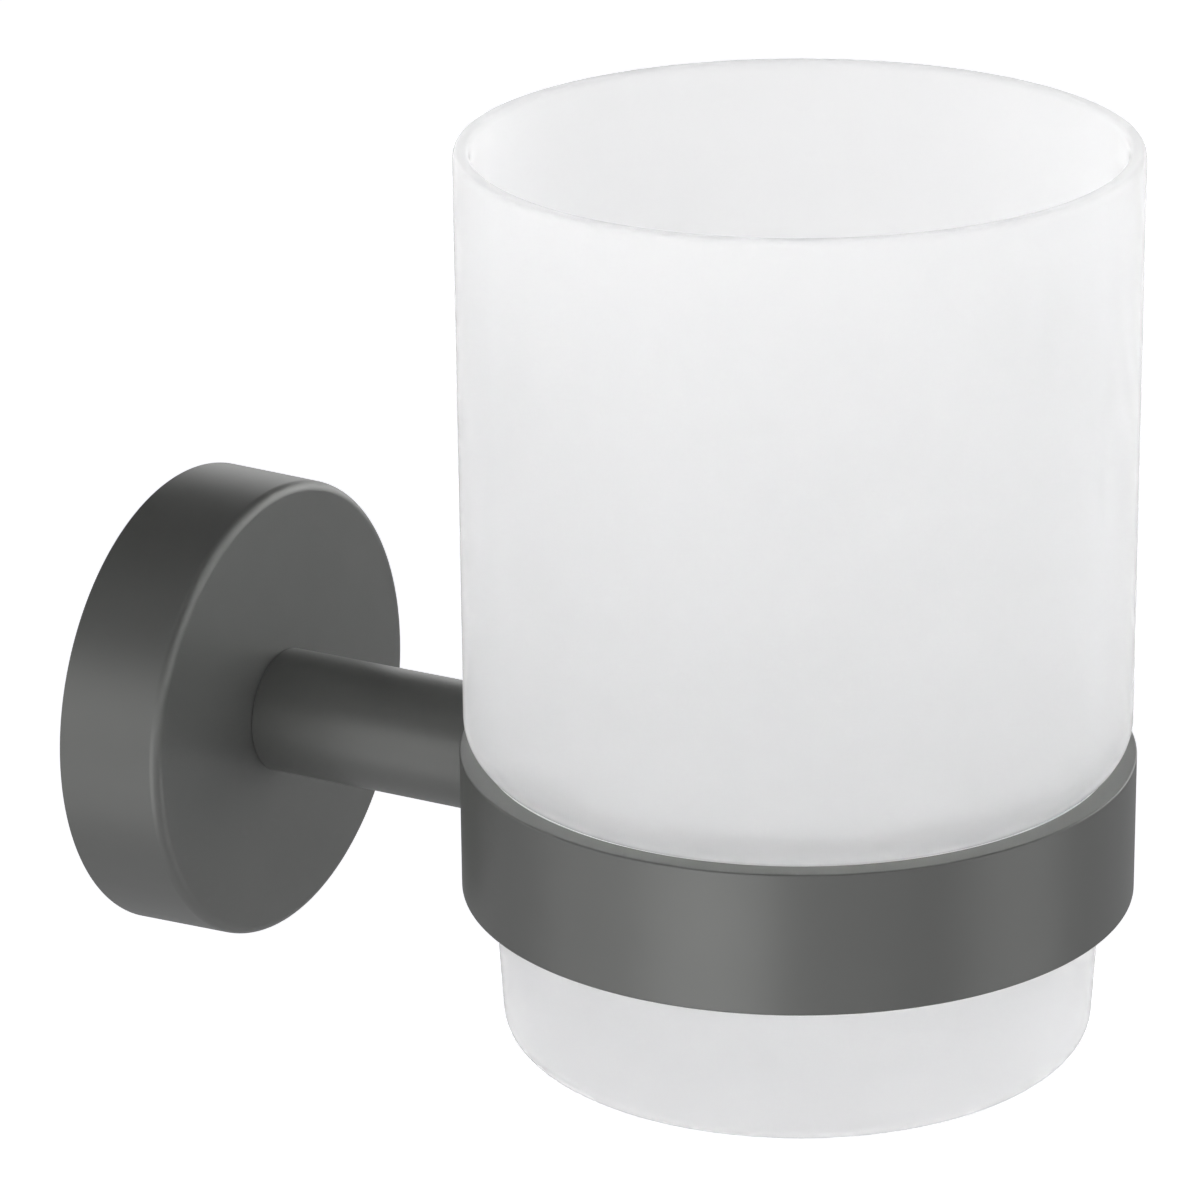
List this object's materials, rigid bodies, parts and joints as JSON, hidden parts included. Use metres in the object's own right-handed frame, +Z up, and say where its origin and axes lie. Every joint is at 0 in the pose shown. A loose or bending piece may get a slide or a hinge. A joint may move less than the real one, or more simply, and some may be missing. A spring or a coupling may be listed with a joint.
{
  "type": "wall-mounted tumbler and holder",
  "caption": "Frosted glass tumbler with a stepped shoulder, carried by a flat satin graphite hoop on a short round arm with a round wall rosette.",
  "frame": {"origin": "centre of the rosette's back rim, on the wall plane", "axes": "+Z up along the tumbler's axis, +Y into the wall, so the arm reaches out along -Y; +X to the right of someone facing the wall"},
  "size_m": [0.0744, 0.1172, 0.1031],
  "materials": {
    "frosted_glass": "satin",
    "liner_plastic": "satin",
    "satin_graphite": "satin",
    "fastener_steel": "satin",
    "grub_steel": "matte",
    "cast_zinc": "matte"
  },
  "bodies": {
    "holder": {"holder_ring": "satin_graphite", "ring_screw": "fastener_steel", "ring_pins": "fastener_steel", "arm": "satin_graphite", "rosette": "satin_graphite", "carrier": "cast_zinc", "carrier_washer": "fastener_steel", "carrier_screw": "fastener_steel", "grub_screw": "grub_steel", "wall_bracket": "cast_zinc"},
    "liner": {"ring_liner": "liner_plastic"},
    "tumbler": {"tumbler": "frosted_glass"}
  },
  "joints": [
    {"name": "tumbler_turn", "type": "hinge", "parent": "holder", "child": "liner", "pos_m": [0, -0.08, 0], "axis": [0, 0, 1], "continuous": true},
    {"name": "tumbler_lift", "type": "slide", "parent": "liner", "child": "tumbler", "axis": [0, 0, 1], "range_m": [0, 0.045]}
  ]
}
